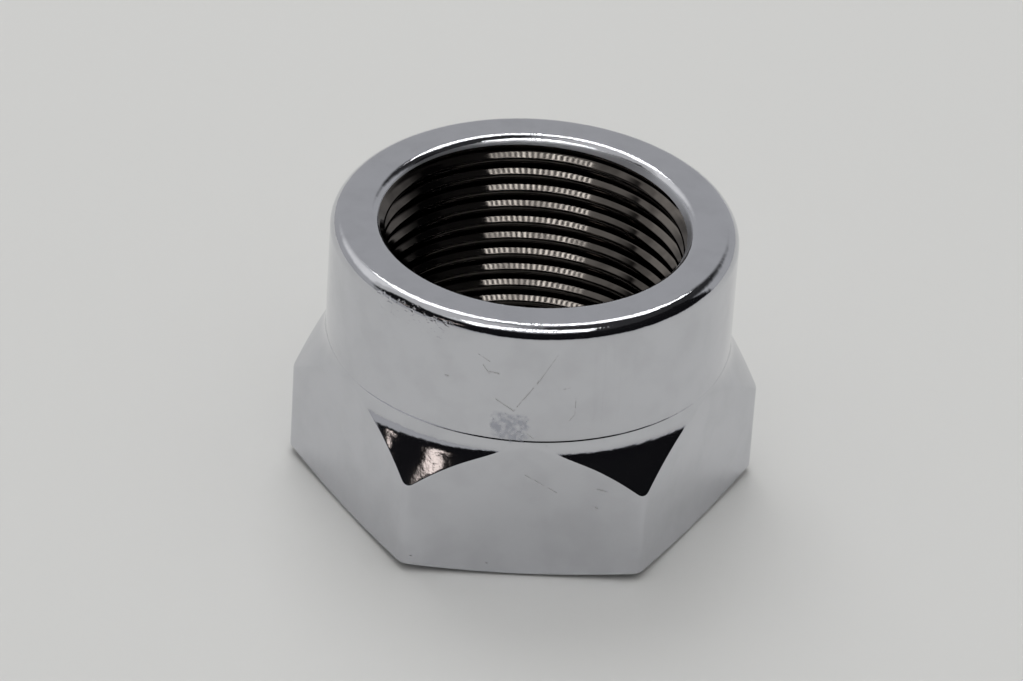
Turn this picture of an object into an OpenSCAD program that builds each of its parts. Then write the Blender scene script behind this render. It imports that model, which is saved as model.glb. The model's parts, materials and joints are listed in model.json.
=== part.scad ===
// Lock nut: a hexagon with a turned collar above it, a hollow turned shoulder between the two
// and a tapped bore right through. It stands on its base, with the bore's axis along Z.
// Every length is in millimetres and every angle in degrees.

/* [Thread] */
// Major diameter of the thread
thread_d = 25; // [16:0.5:40]
// Pitch of the thread
thread_pitch = 1.5; // [0.75:0.25:2]
// Radial width of the bore's mouth outside the thread
mouth_lip = 0.5; // [0.3:0.1:1]
// Radius of the rounding on the edge of the bore's mouth
mouth_rounding = 1; // [0.4:0.1:1.2]
// Included angle of the countersinks that lead from the roundings into the thread
countersink_angle = 60; // [60:5:120]

/* [Hexagon] */
// Thickness of the wall between the thread's major diameter and a flat
wall = 3.5; // [2.5:0.1:6]
// Radius of the rounding on the six upright corners
corner_radius = 1; // [0.4:0.1:2]

/* [Heights] */
// Height of the whole nut
total_height = 22.7; // [20:0.1:30]
// Height of the seam where the shoulder meets the collar
seam_height = 12.5; // [10:0.1:18]

/* [Collar] */
// Distance by which the collar's wall stands inside the flats
collar_inset = 0.05; // [0.05:0.05:0.6]
// Radius of the rounded outer rim at the top of the collar
rim_radius = 1.2; // [0.4:0.1:2]

/* [Shoulder] */
// Width of the fine step that turning the collar left at the seam
seam_step = 0.02; // [0.02:0.02:0.08]
// Radius of the hollow curve below the seam
hollow_radius = 3.2; // [2:0.1:5]
// Slope of the cone below the hollow curve, measured from the upright
cone_slope = 33; // [25:1:45]

/* [Base] */
// Distance by which the flat ring of the base stops short of the flats
base_ring_inset = 1; // [0.2:0.1:1.5]
// Slope of the turned chamfer under the corners, measured from level
base_chamfer_slope = 11; // [5:1:30]

/* [Hidden] */
$fn = 96;

// Finish of the plated surface
chrome = [0.68, 0.69, 0.71];

// Room that a cutting shape needs beyond the surface it cuts
cut_margin = 1;

// Hexagon: the corner circles' centres lie on the lines through the corners, and the circles are
// a hair larger than the rounding, so that each one crosses its two flats
sides = 6;
corner_overlap = 0.0002;
flat_r = thread_d / 2 + wall;
corner_centre_r = (flat_r - corner_radius) / cos(180 / sides);
straight_flat = 2 * (flat_r - corner_radius) * tan(180 / sides);
sharp_corner_r = flat_r / cos(180 / sides);

// Collar and the start of the shoulder
collar_r = flat_r - collar_inset;
shoulder_r = collar_r + seam_step;

// Turned blank: it reaches past the corners, so that the flats cut it
blank_r = sharp_corner_r + cut_margin;
curve_end_r = shoulder_r + hollow_radius * (1 - cos(cone_slope));
curve_end_z = seam_height - hollow_radius * sin(cone_slope);
blank_top_z = curve_end_z - (blank_r - curve_end_r) / tan(cone_slope);
base_ring_r = flat_r - base_ring_inset;
blank_foot_z = (blank_r - base_ring_r) * tan(base_chamfer_slope);

// Bore: its wall is the minor diameter of a 60 degree thread
minor_per_pitch = 5 / 8 * sqrt(3);
bore_r = (thread_d - minor_per_pitch * thread_pitch) / 2;

// Mouths of the bore: a rounded edge that runs into a cone
mouth_r = thread_d / 2 + mouth_lip;
mouth_edge_r = min(mouth_rounding, mouth_r - bore_r);
cone_start_r = mouth_r - mouth_edge_r * cos(countersink_angle / 2);
cone_start_depth = mouth_edge_r * (1 - sin(countersink_angle / 2));
countersink_depth = cone_start_depth + (cone_start_r - bore_r) / tan(countersink_angle / 2);

// Half section of the collar, with its rounded rim, from above the base chamfer
module collar_section() {
    translate([0, blank_foot_z]) {
        square([collar_r, total_height - rim_radius - blank_foot_z]);
        square([collar_r - rim_radius, total_height - blank_foot_z]);
    }
    translate([collar_r - rim_radius, total_height - rim_radius])
        circle(r = rim_radius);
}

// Half section of the blank below the seam: chamfered base, cone and hollow curve
module shoulder_section() {
    difference() {
        polygon([
            [0, 0],
            [base_ring_r, 0],
            [blank_r, blank_foot_z],
            [blank_r, blank_top_z],
            [curve_end_r, curve_end_z],
            [shoulder_r, seam_height],
            [0, seam_height]
        ]);
        translate([shoulder_r + hollow_radius, seam_height])
            circle(r = hollow_radius);
    }
}

// Half section of one mouth of the bore, which opens upwards at height 0
module mouth_section() {
    difference() {
        polygon([
            [0, cut_margin],
            [mouth_r, cut_margin],
            [mouth_r, -mouth_edge_r],
            [cone_start_r, -cone_start_depth],
            [bore_r, -countersink_depth],
            [0, -countersink_depth]
        ]);
        translate([mouth_r, -mouth_edge_r])
            circle(r = mouth_edge_r);
    }
}

// Half section of the bore, with a rounded and countersunk mouth at each end
module bore_section() {
    square([bore_r, total_height]);
    translate([0, total_height])
        mouth_section();
    mirror([0, 1])
        mouth_section();
}

// The blank as it leaves the lathe: collar, shoulder, base chamfer and bore
module turned_blank() {
    rotate_extrude()
        difference() {
            union() {
                collar_section();
                shoulder_section();
            }
            bore_section();
        }
}

// Outline of the hexagon with rounded corners, its flats facing +Y and -Y
module hexagon_outline() {
    for (k = [0 : sides - 1]) {
        rotate(k * 360 / sides) {
            translate([-straight_flat / 2, 0])
                square([straight_flat, flat_r]);
            rotate(180 / sides)
                translate([0, corner_centre_r])
                    circle(r = corner_radius + corner_overlap);
        }
    }
}

// The whole nut: the flats are milled on the turned blank
module lock_nut() {
    color(chrome)
        intersection() {
            turned_blank();
            translate([0, 0, -cut_margin])
                linear_extrude(total_height + 2 * cut_margin)
                    hexagon_outline();
        }
}

lock_nut();
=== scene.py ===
"""Lock nut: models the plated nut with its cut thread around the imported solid, and sets the stage for it."""

import json
import math

import bmesh
import bpy
from mathutils import Matrix, Vector


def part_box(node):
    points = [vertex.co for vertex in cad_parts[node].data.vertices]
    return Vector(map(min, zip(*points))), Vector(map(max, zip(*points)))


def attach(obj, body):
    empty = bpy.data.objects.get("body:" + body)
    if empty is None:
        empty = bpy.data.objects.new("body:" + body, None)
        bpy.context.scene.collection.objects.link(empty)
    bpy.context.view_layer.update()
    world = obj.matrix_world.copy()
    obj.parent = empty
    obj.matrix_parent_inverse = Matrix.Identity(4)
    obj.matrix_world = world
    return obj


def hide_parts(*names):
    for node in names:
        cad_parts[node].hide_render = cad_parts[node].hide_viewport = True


bl_info = {
    "name": "Lock Nut",
    "version": (1, 0, 0),
    "blender": (4, 5, 0),
    "location": "3D View > Sidebar > Lock Nut",
    "description": "Models a chrome-plated collared lock nut with a cut thread, and a plain stage for it",
    "category": "Add Mesh",
}

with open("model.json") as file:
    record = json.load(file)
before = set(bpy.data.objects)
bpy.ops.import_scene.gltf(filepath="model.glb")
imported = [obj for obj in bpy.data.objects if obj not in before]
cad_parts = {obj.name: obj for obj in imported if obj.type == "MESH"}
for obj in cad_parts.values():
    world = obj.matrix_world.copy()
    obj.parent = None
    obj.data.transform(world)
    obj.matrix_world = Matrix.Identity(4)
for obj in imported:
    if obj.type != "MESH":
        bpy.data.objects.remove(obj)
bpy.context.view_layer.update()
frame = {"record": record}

NODE = "lock_nut"
BODY = "root"

# The panel's lengths are metres, and the section is worked in millimetres
MM_PER_M = 1000.0

SIDES = 6
SECTOR = math.tau / SIDES
HALF_SECTOR = SECTOR / 2

# How finely the curved surfaces are divided
COLUMNS = 384
CORNER_SHARE = 0.25
SHOULDER_ROWS = 16
RIM_STEPS = 16
MOUTH_STEPS = 10
EDGE_STEPS = 6
THREAD_STEPS = 151

# Marks that use has left on the front, in millimetres across and up from the origin: start, end and width
SCRATCHES = {
    "long scratch": ((-1.3, 15.3), (0.6, 18.3), 0.1),
    "end of the long scratch": ((0.6, 18.3), (1.8, 20.5), 0.05),
    "branch": ((-1.3, 15.3), (-2.7, 16.2), 0.09),
    "high scratch": ((-4.2, 20.0), (-3.3, 19.5), 0.07),
    "dash": ((2.4, 17.4), (2.9, 17.5), 0.06),
    "left leg of the vee": ((3.0, 14.5), (3.4, 15.0), 0.06),
    "right leg of the vee": ((3.4, 15.0), (3.4, 16.5), 0.05),
    "short pit": ((-3.3, 18.6), (-2.5, 18.55), 0.12),
    "slanting pit": ((-3.8, 19.1), (-3.3, 18.4), 0.08),
    "small pit": ((-6.6, 17.4), (-6.4, 17.4), 0.13),
    "nick at the seam": ((1.3, 12.3), (1.6, 12.2), 0.1),
    "nick by the patch": ((-0.1, 13.2), (0.3, 12.9), 0.08),
    "nick on the flat": ((5.5, 8.5), (6.3, 8.3), 0.11),
    "low nick on the flat": ((5.3, 6.9), (5.6, 6.7), 0.1),
    "line on the flat": ((-0.1, 9.5), (2.4, 8.0), 0.06),
    "pit on the flat": ((4.1, 2.5), (4.2, 2.5), 0.1),
    "left dot on the flat": ((-8.6, 1.5), (-8.5, 1.5), 0.1),
    "right dot on the flat": ((-2.7, 1.1), (-2.6, 1.1), 0.1),
}

# Worn areas of the collar's front: centre and reach along X, Y and Z in millimetres, and raggedness
WORN_AREAS = {
    "matte patch": ((-1.55, -15.8745, 13.75), (1.5, 2.0, 1.35), 0.9),
    "chipped rim": ((-9.3, -13.0, 21.4), (3.4, 3.4, 1.0), 0.8),
    "upright streaks": ((6.3, -14.7, 17.5), (2.6, 2.6, 4.2), 0.6),
}

# Panels that the nut reflects: width and depth in metres, elevation in degrees, distance in metres and
# bearing in degrees
LAMP_BARS = {
    "front_bar": (0.34, 0.13, 65, 0.4, 0),
    "back_bar": (0.34, 0.13, 117, 0.4, 0),
}
WINDOWS = {
    "window": (0.26, 0.09, 27.5, 1.0, -46),
    "side_window": (0.1, 0.06, 21.3, 1.0, -72.5),
}

# Floor and soft light in metres, and the camera's sensor in millimetres
FLOOR_REACH = 6.0
KEY_SIZE = 0.8
KEY_DISTANCE = 1.2
SENSOR_WIDTH = 36

# Edges that turn by more than this are sharp
SHARP_ANGLE = math.radians(35)


def thread_mount():
    """The record's threaded hole."""
    for mount in frame["record"]["mounts"]:
        if mount["name"] == "thread":
            return mount
    raise RuntimeError("the packed record has no mount named thread")


NODE_LOW, NODE_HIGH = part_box(NODE)


class NutSizes(bpy.types.PropertyGroup):
    """Sizes of the nut's section."""

    height: bpy.props.FloatProperty(
        name="Height", description="Height of the whole nut",
        default=NODE_HIGH.z, unit="LENGTH")
    flat_radius: bpy.props.FloatProperty(
        name="Flat Radius", description="Distance from the axis to a flat",
        default=NODE_HIGH.y, unit="LENGTH")
    corner_radius: bpy.props.FloatProperty(
        name="Corner Radius", description="Rounding of the six upright corners",
        default=0.001, unit="LENGTH")
    seam_height: bpy.props.FloatProperty(
        name="Seam Height", description="Height of the seam where the shoulder meets the collar",
        default=0.0125, unit="LENGTH")
    seam_step: bpy.props.FloatProperty(
        name="Seam Step", description="Width of the step that turning the collar left at the seam",
        default=0.00002, unit="LENGTH")
    seam_groove_depth: bpy.props.FloatProperty(
        name="Seam Groove Depth", description="Depth of the fine groove along the seam, below the step",
        default=0.00006, unit="LENGTH")
    seam_groove_height: bpy.props.FloatProperty(
        name="Seam Groove Height", description="Height of the groove's lower side",
        default=0.00011, unit="LENGTH")
    collar_inset: bpy.props.FloatProperty(
        name="Collar Inset", description="Distance by which the collar's wall stands inside the flats",
        default=0.00005, unit="LENGTH")
    rim_radius: bpy.props.FloatProperty(
        name="Rim Radius", description="Rounding of the collar's outer rim",
        default=0.0012, unit="LENGTH")
    hollow_radius: bpy.props.FloatProperty(
        name="Hollow Radius", description="Radius of the hollow curve below the seam",
        default=0.0032, unit="LENGTH")
    cone_slope: bpy.props.FloatProperty(
        name="Cone Slope", description="Slope of the cone below the hollow curve, from the upright",
        default=math.radians(33), subtype="ANGLE")
    base_ring_inset: bpy.props.FloatProperty(
        name="Base Ring Inset", description="Distance from the base's flat ring to the flats",
        default=0.001, unit="LENGTH")
    base_chamfer_slope: bpy.props.FloatProperty(
        name="Base Chamfer Slope", description="Slope of the chamfer under the corners, from level",
        default=math.radians(11), subtype="ANGLE")
    thread_radius: bpy.props.FloatProperty(
        name="Thread Radius", description="Major radius of the thread",
        default=0.0125, unit="LENGTH")
    minor_radius: bpy.props.FloatProperty(
        name="Minor Radius", description="Minor radius of the thread, the wall of the packed bore",
        default=thread_mount()["dims"]["r_mm"] / MM_PER_M, unit="LENGTH")
    thread_pitch: bpy.props.FloatProperty(
        name="Thread Pitch", description="Pitch of the thread",
        default=0.0015, unit="LENGTH")
    thread_start: bpy.props.FloatProperty(
        name="Thread Start", description="Depth of the top groove's middle below the rim, on the +X side",
        default=0.001375, unit="LENGTH")
    crest_break: bpy.props.FloatProperty(
        name="Crest Break", description="Reach of the rounding on the thread's crests and roots",
        default=0.0001, unit="LENGTH")
    crest_wear: bpy.props.FloatProperty(
        name="Crest Wear", description="Width of the face that use has worn on the upper edge of the crests",
        default=0.00062, unit="LENGTH")
    wear_slope: bpy.props.FloatProperty(
        name="Wear Slope", description="Slope of the worn face on the crests, from level",
        default=math.radians(42), subtype="ANGLE")
    mouth_lip: bpy.props.FloatProperty(
        name="Mouth Lip", description="Radial width of the bore's mouth outside the thread",
        default=0.0005, unit="LENGTH")
    mouth_rounding: bpy.props.FloatProperty(
        name="Mouth Rounding", description="Radius of the rounding on the edge of the bore's mouth",
        default=0.001, unit="LENGTH")
    countersink_angle: bpy.props.FloatProperty(
        name="Countersink Angle", description="Included angle of the countersinks below the roundings",
        default=math.radians(60), subtype="ANGLE")
    edge_break: bpy.props.FloatProperty(
        name="Edge Break", description="Reach of the rounding on the milled flats' lower edges",
        default=0.0001, unit="LENGTH")
    brow_break: bpy.props.FloatProperty(
        name="Brow Break", description="Reach of the rounding where the shoulder meets the flats",
        default=0.0001, unit="LENGTH")


class NutFinish(bpy.types.PropertyGroup):
    """Colours and finish of the plated surface and of the cut thread."""

    plate_colour: bpy.props.FloatVectorProperty(
        name="Plate Colour", description="Reflected colour of the chrome plate",
        default=(0.62, 0.625, 0.655), subtype="COLOR", min=0, max=1)
    plate_roughness: bpy.props.FloatProperty(
        name="Plate Roughness", description="Roughness of the bright plate",
        default=0.07, min=0, max=1, subtype="FACTOR")
    plate_ripple: bpy.props.FloatProperty(
        name="Plate Ripple", description="Height of the ripple in the bright plate",
        default=0.000025, unit="LENGTH", precision=6)
    scratch_colour: bpy.props.FloatVectorProperty(
        name="Scratch Colour", description="Colour at the bottom of scratches and pits",
        default=(0.43, 0.43, 0.44), subtype="COLOR", min=0, max=1)
    scratch_depth: bpy.props.FloatProperty(
        name="Scratch Depth", description="Depth of scratches and pits",
        default=0.000004, unit="LENGTH", precision=6)
    patch_colour: bpy.props.FloatVectorProperty(
        name="Patch Colour", description="Colour of the matte patch on the collar",
        default=(0.43, 0.44, 0.49), subtype="COLOR", min=0, max=1)
    thread_colour: bpy.props.FloatVectorProperty(
        name="Thread Colour", description="Reflected colour of the thin plate in the thread",
        default=(0.13, 0.118, 0.108), subtype="COLOR", min=0, max=1)
    thread_roughness: bpy.props.FloatProperty(
        name="Thread Roughness", description="Roughness of the cut thread",
        default=0.06, min=0, max=1, subtype="FACTOR")


class StageLook(bpy.types.PropertyGroup):
    """Floor, light and camera."""

    floor_colour: bpy.props.FloatVectorProperty(
        name="Floor Colour", description="Colour of the floor",
        default=(0.62, 0.62, 0.608), subtype="COLOR", min=0, max=1)
    key_power: bpy.props.FloatProperty(
        name="Key Power", description="Power of the soft light from behind",
        default=5.2, unit="POWER")
    key_elevation: bpy.props.FloatProperty(
        name="Key Elevation", description="Elevation of the soft light, from the camera's side over the top",
        default=math.radians(126), subtype="ANGLE")
    key_bearing: bpy.props.FloatProperty(
        name="Key Bearing", description="Turn of the soft light about the nut",
        default=math.radians(14), subtype="ANGLE")
    bar_strength: bpy.props.FloatProperty(
        name="Bar Strength", description="Brightness of the lamps in the two bars",
        default=7.0)
    bar_spill: bpy.props.FloatProperty(
        name="Bar Spill", description="Factor on the bars in the light that the nut casts on the floor",
        default=3.4)
    lamp_spacing: bpy.props.FloatProperty(
        name="Lamp Spacing", description="Distance between the lamps in a bar",
        default=0.0186, unit="LENGTH")
    room_grey: bpy.props.FloatVectorProperty(
        name="Room Grey", description="Colour of the room that the nut reflects",
        default=(0.45, 0.455, 0.467), subtype="COLOR", min=0, max=1)
    room_light: bpy.props.FloatProperty(
        name="Room Light", description="Level of the soft light that the room casts from straight above",
        default=1.2, min=0, max=2, subtype="FACTOR")
    window_colour: bpy.props.FloatVectorProperty(
        name="Window Colour", description="Colour of the light from the front on the left",
        default=(1.0, 0.86, 0.78), subtype="COLOR", min=0, max=1)
    window_strength: bpy.props.FloatProperty(
        name="Window Strength", description="Brightness of the light from the front on the left",
        default=1.6)
    lens: bpy.props.FloatProperty(
        name="Lens", description="Focal length of the camera on a 36 mm wide sensor, in millimetres",
        default=211.2)
    distance: bpy.props.FloatProperty(
        name="Camera Distance", description="Distance from the camera to the point it looks at",
        default=0.47266, unit="LENGTH")
    elevation: bpy.props.FloatProperty(
        name="Camera Elevation", description="Height of the camera above the floor's level",
        default=math.radians(33.15), subtype="ANGLE")
    bearing: bpy.props.FloatProperty(
        name="Camera Bearing", description="Turn of the camera about the nut, from the front of a flat",
        default=math.radians(-1.96), subtype="ANGLE")
    roll: bpy.props.FloatProperty(
        name="Camera Roll", description="Tilt of the camera about its line of sight",
        default=math.radians(3.72), subtype="ANGLE")
    target: bpy.props.FloatVectorProperty(
        name="Camera Target", description="Point that the camera looks at",
        default=(-0.00126, 0.00004, 0.01128), subtype="XYZ", unit="LENGTH")


class NutForm:
    """The nut's section at any angle about its axis, in millimetres."""

    def __init__(self, sizes):
        for name in sizes.__annotations__:
            value = getattr(sizes, name)
            is_angle = name.endswith(("slope", "angle"))
            setattr(self, name, value if is_angle else value * MM_PER_M)
        self.corner_centre = (self.flat_radius - self.corner_radius) / math.cos(HALF_SECTOR)
        self.corner_spread = HALF_SECTOR - math.atan2(
            self.corner_centre * math.sin(HALF_SECTOR), self.flat_radius)
        self.collar_radius = self.flat_radius - self.collar_inset
        self.shoulder_radius = self.collar_radius + self.seam_step
        self.ring_radius = self.flat_radius - self.base_ring_inset
        self.mouth_radius = self.thread_radius + self.mouth_lip
        self.core_radius = self.minor_radius - self.thread_pitch / 2

    def crowded(self, spun):
        """Angle of a column that the spin made at an even angle: columns crowd round the corners."""
        sector, share = divmod(spun / SECTOR, 1)
        half = CORNER_SHARE / 2
        if share < half:
            turned = self.corner_spread * share / half
        elif share > 1 - half:
            turned = SECTOR - self.corner_spread * (1 - share) / half
        else:
            along = (share - half) / (1 - CORNER_SHARE)
            turned = self.corner_spread + along * (SECTOR - 2 * self.corner_spread)
        return sector * SECTOR + turned

    def outline_radius(self, angle):
        """Distance from the axis to the milled outline: flat, or rounded at a corner."""
        off_flat = abs(angle % SECTOR - HALF_SECTOR)
        off_corner = HALF_SECTOR - off_flat
        if off_corner >= self.corner_spread:
            return self.flat_radius / math.cos(off_flat)
        across = self.corner_centre * math.sin(off_corner)
        along = self.corner_centre * math.cos(off_corner)
        return along + math.sqrt(self.corner_radius ** 2 - across ** 2)

    def shoulder_height(self, radius):
        """Height of the turned shoulder at a radius: a hollow curve that runs into a cone."""
        out = max(radius - self.shoulder_radius, 0)
        curve_out = self.hollow_radius * (1 - math.cos(self.cone_slope))
        if out < curve_out:
            return self.seam_height - math.sqrt(2 * self.hollow_radius * out - out ** 2)
        curve_drop = self.hollow_radius * math.sin(self.cone_slope)
        return self.seam_height - curve_drop - (out - curve_out) / math.tan(self.cone_slope)

    def shoulder_reach(self, height):
        """Radius of the turned shoulder at a height, the inverse of shoulder_height."""
        drop = max(self.seam_height - height, 0)
        curve_drop = self.hollow_radius * math.sin(self.cone_slope)
        if drop < curve_drop:
            return self.shoulder_radius + self.hollow_radius - math.sqrt(self.hollow_radius ** 2 - drop ** 2)
        curve_out = self.hollow_radius * (1 - math.cos(self.cone_slope))
        return self.shoulder_radius + curve_out + (drop - curve_drop) * math.tan(self.cone_slope)

    def on_front(self, across, up):
        """Point on the front of the collar, or of the front flat below the seam."""
        if up < self.seam_height:
            return (across, -self.flat_radius, up)
        return (across, -math.sqrt(self.collar_radius ** 2 - across ** 2), up)

    def mouth(self):
        """Points (radius, depth) of a mouth of the bore, from its face inward: a rounding, then a cone."""
        half_angle = self.countersink_angle / 2
        points = []
        for step in range(MOUTH_STEPS + 1):
            turn = (math.radians(90) - half_angle) * step / MOUTH_STEPS
            points.append((self.mouth_radius - self.mouth_rounding * math.sin(turn),
                           self.mouth_rounding * (1 - math.cos(turn))))
        cone_radius, cone_depth = points[-1]
        core_depth = cone_depth + (cone_radius - self.core_radius) / math.tan(half_angle)
        points.append((self.core_radius, core_depth))
        return points

    def section(self, angle):
        """Points (radius, height) of the half section at an angle, from the base's bore to the top's."""
        wall = self.outline_radius(angle)
        foot_mouth = (self.mouth_radius, 0)
        top_mouth = (self.mouth_radius, self.height)
        ring_edge = (self.ring_radius, 0)
        foot = (wall, (wall - self.ring_radius) * math.tan(self.base_chamfer_slope))
        brow = (wall, self.shoulder_height(wall))
        above_brow = brow[1] + self.brow_break
        shoulder_start = (self.shoulder_reach(above_brow), above_brow)
        step_foot = (self.shoulder_radius, self.seam_height)
        groove_floor = (self.shoulder_radius - self.seam_groove_depth,
                        self.seam_height + self.seam_groove_height)
        step_top = (self.collar_radius, groove_floor[1] + (self.collar_radius - groove_floor[0]) / 2)
        rim_foot = (self.collar_radius, self.height - self.rim_radius)
        rim_centre = (self.collar_radius - self.rim_radius, self.height - self.rim_radius)
        rim_top = (rim_centre[0], self.height)
        crisp = self.seam_step / 3

        points = self.mouth()[::-1]
        points += rounded(foot_mouth, ring_edge, foot, self.edge_break / 2, EDGE_STEPS)
        points += rounded(ring_edge, foot, brow, self.edge_break, EDGE_STEPS)
        points += between(foot, brow, (0.05, 0.1, 0.5, 0.9, 0.95))
        points += rounded(foot, brow, shoulder_start, self.brow_break, EDGE_STEPS)
        for row in range(1, SHOULDER_ROWS):
            height = above_brow + (self.seam_height - above_brow) * row / SHOULDER_ROWS
            points.append((self.shoulder_reach(height), height))
        points.append((self.shoulder_radius, self.seam_height - self.seam_groove_height / 4))
        points += rounded(points[-1], step_foot, groove_floor, crisp, 2)
        points += rounded(step_foot, groove_floor, step_top, crisp, 2)
        points += rounded(groove_floor, step_top, rim_foot, crisp, 2)
        points += between(step_top, rim_foot, (0.02, 0.1, 0.5, 0.9, 0.98))
        for step in range(RIM_STEPS + 1):
            rise = math.radians(90) * step / RIM_STEPS
            points.append((rim_centre[0] + self.rim_radius * math.cos(rise),
                           rim_centre[1] + self.rim_radius * math.sin(rise)))
        points += between(rim_top, top_mouth, (0.03, 0.3, 0.6, 0.97))
        points += [(radius, self.height - depth) for radius, depth in self.mouth()]
        return points

    def tooth(self):
        """Points (radius, height) of one pitch of the tap that cuts the thread, centred on its tooth."""
        pitch = self.thread_pitch
        ends = [(self.minor_radius, side * pitch / 2) for side in (-1, 1)]
        feet = [(self.minor_radius, side * pitch * 3 / 8) for side in (-1, 1)]
        tips = [(self.thread_radius, side * pitch / 16) for side in (-1, 1)]
        flank_slope = math.atan2(tips[0][1] - feet[0][1], tips[0][0] - feet[0][0])
        worn_out = self.crest_wear * math.cos(self.wear_slope)
        worn_up = self.crest_wear * math.sin(self.wear_slope)
        worn_top = (feet[0][0] + worn_out, feet[0][1] + worn_out * math.tan(flank_slope))
        worn_foot = (feet[0][0], worn_top[1] - worn_up)
        soft = self.crest_break
        tip_soft = min(soft, pitch / 16)
        points = [ends[0]]
        points += rounded(ends[0], worn_foot, worn_top, soft, 3)
        points += between(worn_foot, worn_top, (0.22, 0.78))
        points += rounded(worn_foot, worn_top, tips[0], soft, 2)
        points += rounded(worn_top, tips[0], tips[1], tip_soft, 2)
        points += rounded(tips[0], tips[1], feet[1], tip_soft, 2)
        points += rounded(tips[1], feet[1], ends[1], soft, 2)
        points.append(ends[1])
        return points


def rounded(before, corner, after, reach, steps):
    """Points of a curve that rounds a corner off, starting and ending at the given reach from it."""
    start, corner, end = Vector(before), Vector(corner), Vector(after)
    start = corner + (start - corner).normalized() * reach
    end = corner + (end - corner).normalized() * reach
    points = []
    for step in range(steps + 1):
        share = step / steps
        near, far = start.lerp(corner, share), corner.lerp(end, share)
        points.append(tuple(near.lerp(far, share)))
    return points


def between(start, end, shares):
    """Points at the given shares of the way from start to end."""
    return [tuple(Vector(start).lerp(Vector(end), share)) for share in shares]


def spin_profile(points, closed, **spin):
    """A bmesh of a profile turned about Z. A layer holds each vertex's place in the profile."""
    bm = bmesh.new()
    row = bm.verts.layers.int.new("row")
    verts = [bm.verts.new((radius, 0, height)) for radius, height in points]
    for index, vert in enumerate(verts):
        vert[row] = index
    ends = verts[1:] + verts[:1] if closed else verts[1:]
    edges = [bm.edges.new(pair) for pair in zip(verts, ends)]
    bmesh.ops.spin(bm, geom=verts + edges, cent=(0, 0, 0), axis=(0, 0, 1), **spin)
    return bm


def milled_blank(form):
    """The nut without its thread: a turned ring whose columns are moved in to the milled flats."""
    bm = spin_profile(form.section(0), True, angle=math.tau, steps=COLUMNS, use_merge=True)
    row = bm.verts.layers.int["row"]
    step = math.tau / COLUMNS
    angles = [form.crowded(column * step) for column in range(COLUMNS)]
    sections = [form.section(angle) for angle in angles]
    for vert in bm.verts:
        column = round(math.atan2(vert.co.y, vert.co.x) / step) % COLUMNS
        radius, height = sections[column][vert[row]]
        vert.co = (radius * math.cos(angles[column]), radius * math.sin(angles[column]), height)
    bmesh.ops.recalc_face_normals(bm, faces=bm.faces)
    return bm


def thread_tap(form):
    """The tap that cuts the right-hand thread: turns of a helix, trimmed level and closed at both ends."""
    overrun = form.thread_pitch
    low, high = -overrun, form.height + overrun
    turns = (high - low) / form.thread_pitch + 4
    climb = Vector((0, 0, form.thread_pitch / THREAD_STEPS))
    bm = spin_profile(form.tooth(), False, angle=math.tau, steps=THREAD_STEPS, dvec=climb)
    made = 1
    while made < turns:
        copy = bmesh.ops.duplicate(bm, geom=bm.verts[:] + bm.edges[:] + bm.faces[:])["geom"]
        copied = [part for part in copy if isinstance(part, bmesh.types.BMVert)]
        bmesh.ops.translate(bm, verts=copied, vec=(0, 0, made * form.thread_pitch))
        made *= 2
    start = (form.height - form.thread_start) % form.thread_pitch
    bmesh.ops.translate(bm, verts=bm.verts, vec=(0, 0, low - form.thread_pitch * 2 + start))
    bmesh.ops.remove_doubles(bm, verts=bm.verts, dist=form.thread_pitch / 1000)
    for level, outward in ((low, -1), (high, 1)):
        geom = bm.verts[:] + bm.edges[:] + bm.faces[:]
        bmesh.ops.bisect_plane(
            bm, geom=geom, plane_co=(0, 0, level), plane_no=(0, 0, outward), clear_outer=True)
    bmesh.ops.holes_fill(bm, edges=[edge for edge in bm.edges if edge.is_boundary])
    bmesh.ops.recalc_face_normals(bm, faces=bm.faces)
    return bm


def new_object(name, bm, *materials):
    """An object in the scene made from a bmesh, which it uses up."""
    mesh = bpy.data.meshes.new(name)
    bm.to_mesh(mesh)
    bm.free()
    for material in materials:
        mesh.materials.append(material)
    made = bpy.data.objects.new(name, mesh)
    bpy.context.scene.collection.objects.link(made)
    return made


def cut_thread(blank, tap):
    """Cuts the tap out of the blank for good. The faces that it leaves carry the tap's material."""
    cut = blank.modifiers.new("cut thread", "BOOLEAN")
    cut.operation = "DIFFERENCE"
    cut.solver = "MANIFOLD"
    cut.material_mode = "TRANSFER"
    cut.object = tap
    depsgraph = bpy.context.evaluated_depsgraph_get()
    mesh = bpy.data.meshes.new_from_object(blank.evaluated_get(depsgraph))
    drop_films(mesh)
    blank.modifiers.remove(cut)
    blank.data = mesh
    bpy.data.objects.remove(tap)


def drop_films(mesh):
    """Takes out the films without thickness that a cut leaves: two faces back to back on the same edges."""
    bm = bmesh.new()
    bm.from_mesh(mesh)
    films = [face for face in bm.faces
             if len({beside for edge in face.edges for beside in edge.link_faces}) == 2]
    bmesh.ops.delete(bm, geom=films, context="FACES")
    bm.to_mesh(mesh)
    bm.free()


def add(tree, kind, values=None, **settings):
    """Adds a shader node with its settings, and fills its inputs with values or other nodes' outputs."""
    made = tree.nodes.new(kind)
    for name, value in settings.items():
        setattr(made, name, value)
    for key, value in (values or {}).items():
        if isinstance(value, bpy.types.NodeSocket):
            tree.links.new(value, made.inputs[key])
        else:
            made.inputs[key].default_value = value
    return made


def combine(tree, operation, *values):
    """Output of a Math node."""
    return add(tree, "ShaderNodeMath", dict(enumerate(values)), operation=operation).outputs[0]


def ramp(tree, value, low, high, smooth=True):
    """Output that rises from 0 to 1 as the value goes from low to high."""
    return add(tree, "ShaderNodeMapRange", {"Value": value, "From Min": low, "From Max": high},
               interpolation_type="SMOOTHSTEP" if smooth else "LINEAR").outputs[0]


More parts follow.
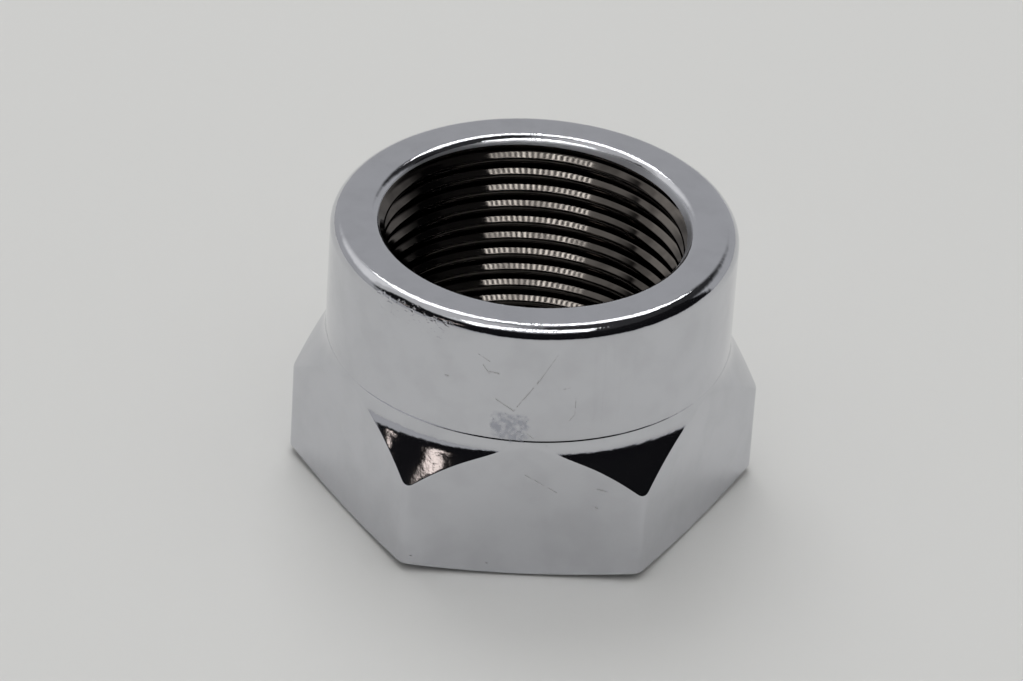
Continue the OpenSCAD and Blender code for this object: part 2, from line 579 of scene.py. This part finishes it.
def noise(tree, place, scale, detail=2.0):
    """Value of a noise texture."""
    values = {"Vector": place, "Scale": scale, "Detail": detail}
    return add(tree, "ShaderNodeTexNoise", values).outputs[0]


def new_material(name):
    """A material with a Principled shader, its tree, the shader and the surface's place in millimetres."""
    material = bpy.data.materials.new(name)
    material.use_nodes = True
    tree = material.node_tree
    shader = tree.nodes["Principled BSDF"]
    place = add(tree, "ShaderNodeTexCoord").outputs["Object"]
    place = add(tree, "ShaderNodeVectorMath", {0: place, "Scale": MM_PER_M}, operation="SCALE").outputs[0]
    return material, tree, shader, place


def vector_math(tree, operation, *values):
    """Outputs of a Vector Math node."""
    return add(tree, "ShaderNodeVectorMath", dict(enumerate(values)), operation=operation).outputs


def blend(tree, factor, first, second):
    """Colour that goes from the first to the second as the factor goes from 0 to 1."""
    mix = add(tree, "ShaderNodeMix", {"Factor": factor}, data_type="RGBA")
    for key, colour in ((6, first), (7, second)):
        if isinstance(colour, bpy.types.NodeSocket):
            tree.links.new(colour, mix.inputs[key])
        else:
            mix.inputs[key].default_value = (*colour, 1)
    return mix.outputs[2]


def new_group(name, inputs, outputs):
    """A shader node group, the sockets that it is given and those that it fills."""
    group = bpy.data.node_groups.new(name, "ShaderNodeTree")
    for in_out, sockets in (("INPUT", inputs), ("OUTPUT", outputs)):
        for label, kind in sockets.items():
            group.interface.new_socket(label, in_out=in_out, socket_type="NodeSocket" + kind)
    return group, add(group, "NodeGroupInput").outputs, add(group, "NodeGroupOutput").inputs


def scratch_group():
    """Group that masks one scratch: 1 along the line from its start to its end, fading out at its width."""
    group, given, mask = new_group(
        "scratch", {"Place": "Vector", "Start": "Vector", "End": "Vector", "Width": "Float"},
        {"Mask": "Float"})
    line = vector_math(group, "SUBTRACT", given["End"], given["Start"])[0]
    off_start = vector_math(group, "SUBTRACT", given["Place"], given["Start"])[0]
    reach = vector_math(group, "DOT_PRODUCT", off_start, line)["Value"]
    length = vector_math(group, "DOT_PRODUCT", line, line)["Value"]
    share = add(group, "ShaderNodeClamp", {"Value": combine(group, "DIVIDE", reach, length)}).outputs[0]
    along = add(group, "ShaderNodeVectorMath", {0: line, "Scale": share}, operation="SCALE").outputs[0]
    off_line = vector_math(group, "LENGTH", vector_math(group, "SUBTRACT", off_start, along)[0])["Value"]
    ragged = noise(group, given["Place"], 4.0)
    width = combine(group, "MULTIPLY", given["Width"], combine(group, "MULTIPLY", ragged, 2.0))
    inside = combine(group, "SUBTRACT", 1.0, combine(group, "DIVIDE", off_line, width))
    broken = noise(group, given["Place"], 2.2, 3.0)
    inside = combine(group, "MULTIPLY", ramp(group, inside, 0.0, 0.8), ramp(group, broken, 0.35, 0.55))
    group.links.new(inside, mask["Mask"])
    return group


def worn_area_group():
    """Group that masks an area with a ragged edge: 1 inside a rounded box round its centre, 0 outside."""
    group, given, mask = new_group(
        "worn area", {"Place": "Vector", "Centre": "Vector", "Reach": "Vector", "Raggedness": "Float"},
        {"Mask": "Float"})
    off_centre = vector_math(group, "SUBTRACT", given["Place"], given["Centre"])[0]
    off_centre = vector_math(group, "DIVIDE", off_centre, given["Reach"])[0]
    squared = vector_math(group, "MULTIPLY", off_centre, off_centre)[0]
    off_centre = combine(group, "POWER", vector_math(group, "DOT_PRODUCT", squared, squared)["Value"], 0.25)
    ragged = combine(group, "SUBTRACT", noise(group, given["Place"], 1.6, 4.0), 0.5)
    edge = combine(group, "MULTIPLY_ADD", ragged, given["Raggedness"], off_centre)
    group.links.new(ramp(group, edge, 1.05, 0.75), mask["Mask"])
    return group


def ripple_group():
    """Group that gives the height of a plated or cut surface: long waves under a fine orange peel."""
    group, given, result = new_group("ripple", {"Place": "Vector", "Peel": "Float"}, {"Height": "Float"})
    waves = noise(group, given["Place"], 0.7, 1.0)
    peel = noise(group, given["Place"], 2.6)
    height = combine(group, "MULTIPLY_ADD", peel, given["Peel"], waves)
    group.links.new(height, result["Height"])
    return group


def place_group(tree, group, **values):
    """First output of a group placed in a tree."""
    return add(tree, "ShaderNodeGroup", values, node_tree=group).outputs[0]


def chrome_plate(finish, form, ripple):
    """Bright chrome plate with a slight ripple, the marks of use on its front and a chipped rim."""
    material, tree, shader, place = new_material("chrome plate")
    shader.inputs["Metallic"].default_value = 1

    scratch, worn_area = scratch_group(), worn_area_group()
    scratched = None
    for start, end, width in SCRATCHES.values():
        mask = place_group(tree, scratch, Place=place, Start=form.on_front(*start),
                           End=form.on_front(*end), Width=width)
        scratched = combine(tree, "MAXIMUM", scratched, mask) if scratched else mask
    worn = {}
    for name, (centre, reach, ragged) in WORN_AREAS.items():
        worn[name] = place_group(tree, worn_area, Place=place, Centre=centre, Reach=reach, Raggedness=ragged)

    tall = vector_math(tree, "MULTIPLY", place, (3.0, 3.0, 0.12))[0]
    streaks = ramp(tree, noise(tree, tall, 1.0), 0.45, 0.7)
    streaks = combine(tree, "MULTIPLY", streaks, worn["upright streaks"])
    grime = ramp(tree, noise(tree, place, 0.35, 5.0), 0.35, 0.75)

    dull = tuple(channel * 0.93 for channel in finish.plate_colour)
    colour = blend(tree, grime, tuple(finish.plate_colour), dull)
    mottled = ramp(tree, noise(tree, place, 2.5, 3.0), 0.2, 0.65)
    patch = combine(tree, "MULTIPLY", worn["matte patch"], mottled)
    colour = blend(tree, patch, colour, tuple(finish.patch_colour))
    colour = blend(tree, scratched, colour, tuple(finish.scratch_colour))
    tree.links.new(colour, shader.inputs["Base Color"])

    off_axis = vector_math(tree, "LENGTH", vector_math(tree, "MULTIPLY", place, (1, 1, 0))[0])["Value"]
    cone_radius = form.mouth()[-2][0]
    turned = ramp(tree, off_axis, cone_radius + 0.2, cone_radius + 0.08)

    roughness = combine(tree, "MULTIPLY_ADD", grime, 0.03, finish.plate_roughness)
    for mask, rise in ((patch, 0.3), (scratched, 0.25), (streaks, 0.18), (turned, 0.3)):
        roughness = combine(tree, "MULTIPLY_ADD", mask, rise, roughness)
    tree.links.new(roughness, shader.inputs["Roughness"])

    height = place_group(tree, ripple, Place=place, Peel=0.25)
    chips = ramp(tree, noise(tree, place, 2.4, 3.0), 0.5, 0.7)
    chips = combine(tree, "MULTIPLY", chips, worn["chipped rim"])
    height = combine(tree, "MULTIPLY_ADD", chips, -1.2, height)
    height = combine(tree, "MULTIPLY", height, finish.plate_ripple)
    height = combine(tree, "MULTIPLY_ADD", scratched, -finish.scratch_depth, height)
    bump = add(tree, "ShaderNodeBump", {"Height": height, "Distance": 1.0})
    tree.links.new(bump.outputs[0], shader.inputs["Normal"])
    return material


def cut_steel(finish, ripple):
    """Thin, darker plate on the cut thread, stained in places."""
    material, tree, shader, place = new_material("cut thread")
    shader.inputs["Metallic"].default_value = 1
    stain = ramp(tree, noise(tree, place, 0.5, 4.0), 0.35, 0.7)
    dark = tuple(channel * 0.6 for channel in finish.thread_colour)
    tree.links.new(blend(tree, stain, tuple(finish.thread_colour), dark), shader.inputs["Base Color"])
    roughness = combine(tree, "MULTIPLY_ADD", stain, 0.02, finish.thread_roughness)
    tree.links.new(roughness, shader.inputs["Roughness"])
    height = place_group(tree, ripple, Place=place, Peel=0.3)
    height = combine(tree, "MULTIPLY", height, finish.plate_ripple / 10)
    bump = add(tree, "ShaderNodeBump", {"Height": height, "Distance": 1.0})
    tree.links.new(bump.outputs[0], shader.inputs["Normal"])
    return material


class LOCKNUT_OT_model_nut(bpy.types.Operator):
    """Model the nut: turn and mill the blank, cut its thread and plate it"""

    bl_idname = "lock_nut.model_nut"
    bl_label = "Model Nut"

    def execute(self, context):
        scene = context.scene
        form = NutForm(scene.lock_nut_sizes)
        ripple = ripple_group()
        plate = chrome_plate(scene.lock_nut_finish, form, ripple)
        thread = cut_steel(scene.lock_nut_finish, ripple)
        nut = new_object("plated_nut", milled_blank(form), plate, thread)
        cut_thread(nut, new_object("tap", thread_tap(form), thread))
        nut.data.transform(Matrix.Scale(1 / MM_PER_M, 4))
        nut.data.shade_smooth()
        nut.data.set_sharp_from_angle(angle=SHARP_ANGLE)
        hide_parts(NODE)
        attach(nut, BODY)
        return {"FINISHED"}


def floor_material(look):
    """Matte pale floor."""
    material = bpy.data.materials.new("pale floor")
    material.use_nodes = True
    shader = material.node_tree.nodes["Principled BSDF"]
    shader.inputs["Base Color"].default_value = (*look.floor_colour, 1)
    shader.inputs["Roughness"].default_value = 0.8
    shader.inputs["Specular IOR Level"].default_value = 0.1
    return material


def glow_material(name, colour, strength, spacing=None, spill=1.0):
    """Glow that reflections show: a row of small lamps at a spacing along X, or one that fades outward."""
    material = bpy.data.materials.new(name)
    material.use_nodes = True
    tree = material.node_tree
    tree.nodes.remove(tree.nodes["Principled BSDF"])
    place = add(tree, "ShaderNodeTexCoord").outputs
    if spacing:
        across = add(tree, "ShaderNodeSeparateXYZ", {0: place["Object"]}).outputs["X"]
        lit = ramp(tree, combine(tree, "PINGPONG", across, spacing / 2), spacing * 0.25, spacing * 0.11)
    else:
        lit = ramp(tree, vector_math(tree, "DISTANCE", place["UV"], (0.5, 0.5, 0))["Value"], 0.5, 0.1)
    off_floor = combine(tree, "GREATER_THAN", add(tree, "ShaderNodeLightPath").outputs["Diffuse Depth"], 0.5)
    level = combine(tree, "MULTIPLY_ADD", off_floor, strength * (spill - 1), strength)
    level = combine(tree, "MULTIPLY", lit, level)
    glow = add(tree, "ShaderNodeEmission", {"Color": (*colour, 1), "Strength": level})
    tree.links.new(glow.outputs[0], tree.nodes["Material Output"].inputs["Surface"])
    return material


def light_room(look):
    """World: soft light from above, and a grey room in the nut, dark ahead, above and on the right."""
    world = bpy.context.scene.world or bpy.data.worlds.new("room")
    bpy.context.scene.world = world
    world.use_nodes = True
    tree = world.node_tree
    tree.nodes.clear()
    toward = add(tree, "ShaderNodeTexCoord").outputs["Generated"]
    toward = vector_math(tree, "NORMALIZE", toward)[0]
    across, deep, up = add(tree, "ShaderNodeSeparateXYZ", {0: toward}).outputs
    level = combine(tree, "SQRT", combine(tree, "SUBTRACT", 1.0, combine(tree, "MULTIPLY", up, up)))
    level = combine(tree, "MAXIMUM", level, 0.001)
    ahead = combine(tree, "DIVIDE", deep, level)
    sideways = combine(tree, "DIVIDE", across, level)

    front = ramp(tree, combine(tree, "MULTIPLY_ADD", sideways, -0.11, ahead), 0.24, 0.14)
    sill = combine(tree, "MAXIMUM", combine(tree, "MULTIPLY_ADD", across, -0.35, -0.1), 0.0)
    over_sill = ramp(tree, combine(tree, "SUBTRACT", up, sill), 0.01, 0.06)
    below_lamps = ramp(tree, up, math.sin(math.radians(54)), math.sin(math.radians(44)))
    front = combine(tree, "MULTIPLY", front, combine(tree, "MULTIPLY", over_sill, below_lamps))
    slant = combine(tree, "ABSOLUTE", combine(tree, "DIVIDE", deep, combine(tree, "MAXIMUM", up, 0.001)))
    above = combine(tree, "MULTIPLY", ramp(tree, slant, 0.42, 0.3), 0.35)
    right = combine(tree, "MULTIPLY", ramp(tree, sideways, 0.25, 0.6), ramp(tree, up, 0.4, 0.6))
    right = combine(tree, "MULTIPLY", right, 0.95)
    dark = combine(tree, "MAXIMUM", front, combine(tree, "MAXIMUM", above, right))
    left = combine(tree, "MULTIPLY", ramp(tree, sideways, -0.4, -0.8), ramp(tree, up, 0.3, 0.5))
    shade = blend(tree, left, tuple(look.room_grey), (0.9, 0.9, 0.9))
    shade = blend(tree, dark, shade, (0.006, 0.006, 0.007))

    soft = combine(tree, "MULTIPLY", look.room_light, ramp(tree, up, 0.2, 1.0, smooth=False))
    rays = add(tree, "ShaderNodeLightPath").outputs
    first_sight = combine(tree, "LESS_THAN", rays["Diffuse Depth"], 0.5)
    shade = blend(tree, combine(tree, "MULTIPLY", rays["Is Glossy Ray"], first_sight), soft, shade)
    shade = blend(tree, rays["Is Camera Ray"], shade, tuple(look.floor_colour))
    background = add(tree, "ShaderNodeBackground", {"Color": shade})
    output = add(tree, "ShaderNodeOutputWorld")
    tree.links.new(background.outputs[0], output.inputs[0])


def facing_nut(elevation, distance, bearing):
    """Place of a lamp turned to the nut, at an elevation that runs from the camera's side over the top."""
    return (Matrix.Rotation(bearing, 4, "Z") @ Matrix.Rotation(math.radians(90) - elevation, 4, "X")
            @ Matrix.Translation((0, 0, distance)))


def new_panel(name, material, width, depth, place):
    """A flat panel of the stage, which the camera doesn't see."""
    bm = bmesh.new()
    bm.loops.layers.uv.new("place")
    bmesh.ops.create_grid(bm, x_segments=1, y_segments=1, size=0.5, calc_uvs=True)
    bmesh.ops.scale(bm, verts=bm.verts, vec=(width, depth, 1))
    bmesh.ops.transform(bm, verts=bm.verts, matrix=place)
    panel = new_object(name, bm, material)
    panel.visible_camera = False
    panel.visible_diffuse = False
    panel.visible_shadow = False


class LOCKNUT_OT_set_stage(bpy.types.Operator):
    """Set the stage: floor, room, lamps and camera"""

    bl_idname = "lock_nut.set_stage"
    bl_label = "Set Stage"

    def execute(self, context):
        look = context.scene.lock_nut_stage
        context.scene.view_settings.view_transform = "Standard"
        light_room(look)

        bm = bmesh.new()
        bmesh.ops.create_grid(bm, x_segments=1, y_segments=1, size=FLOOR_REACH)
        floor = new_object("floor", bm, floor_material(look))

        lamps = glow_material("lamp bar", (1, 1, 1), look.bar_strength, look.lamp_spacing, look.bar_spill)
        window = glow_material("window", look.window_colour, look.window_strength)
        for glow, panels in ((lamps, LAMP_BARS), (window, WINDOWS)):
            for name, (width, depth, elevation, distance, bearing) in panels.items():
                place = facing_nut(math.radians(elevation), distance, math.radians(bearing))
                new_panel(name, glow, width, depth, place)

        lamp = bpy.data.lights.new("key", "AREA")
        lamp.shape = "RECTANGLE"
        lamp.size = KEY_SIZE
        lamp.size_y = KEY_SIZE
        lamp.energy = look.key_power
        key = bpy.data.objects.new("key", lamp)
        context.scene.collection.objects.link(key)
        key.matrix_world = facing_nut(look.key_elevation, KEY_DISTANCE, look.key_bearing)
        key.visible_glossy = False
        key.visible_camera = False

        lens = bpy.data.cameras.new("camera")
        lens.sensor_fit = "HORIZONTAL"
        lens.sensor_width = SENSOR_WIDTH
        lens.lens = look.lens
        camera = bpy.data.objects.new("camera", lens)
        context.scene.collection.objects.link(camera)
        turn = (Matrix.Rotation(look.bearing, 4, "Z")
                @ Matrix.Rotation(math.radians(90) - look.elevation, 4, "X")
                @ Matrix.Rotation(look.roll, 4, "Z"))
        camera.matrix_world = (Matrix.Translation(look.target) @ turn
                               @ Matrix.Translation((0, 0, look.distance)))
        context.scene.camera = camera
        return {"FINISHED"}


class LOCKNUT_PT_panel(bpy.types.Panel):
    """Sizes, finish and stage of the lock nut"""

    bl_idname = "LOCKNUT_PT_panel"
    bl_label = "Lock Nut"
    bl_space_type = "VIEW_3D"
    bl_region_type = "UI"
    bl_category = "Lock Nut"

    def draw(self, context):
        scene = context.scene
        for heading, group in (("Sizes", scene.lock_nut_sizes), ("Finish", scene.lock_nut_finish),
                               ("Stage", scene.lock_nut_stage)):
            self.layout.label(text=heading)
            for name in group.__annotations__:
                self.layout.prop(group, name)
        self.layout.operator(LOCKNUT_OT_model_nut.bl_idname)
        self.layout.operator(LOCKNUT_OT_set_stage.bl_idname)


CLASSES = (NutSizes, NutFinish, StageLook, LOCKNUT_OT_model_nut, LOCKNUT_OT_set_stage, LOCKNUT_PT_panel)


def register():
    for kind in CLASSES:
        bpy.utils.register_class(kind)
    bpy.types.Scene.lock_nut_sizes = bpy.props.PointerProperty(type=NutSizes)
    bpy.types.Scene.lock_nut_finish = bpy.props.PointerProperty(type=NutFinish)
    bpy.types.Scene.lock_nut_stage = bpy.props.PointerProperty(type=StageLook)


def unregister():
    del bpy.types.Scene.lock_nut_stage
    del bpy.types.Scene.lock_nut_finish
    del bpy.types.Scene.lock_nut_sizes
    for kind in reversed(CLASSES):
        bpy.utils.unregister_class(kind)


def main():
    """Builds the nut and its stage."""
    register()
    bpy.ops.lock_nut.model_nut()
    bpy.ops.lock_nut.set_stage()


if __name__ == "__main__":
    main()
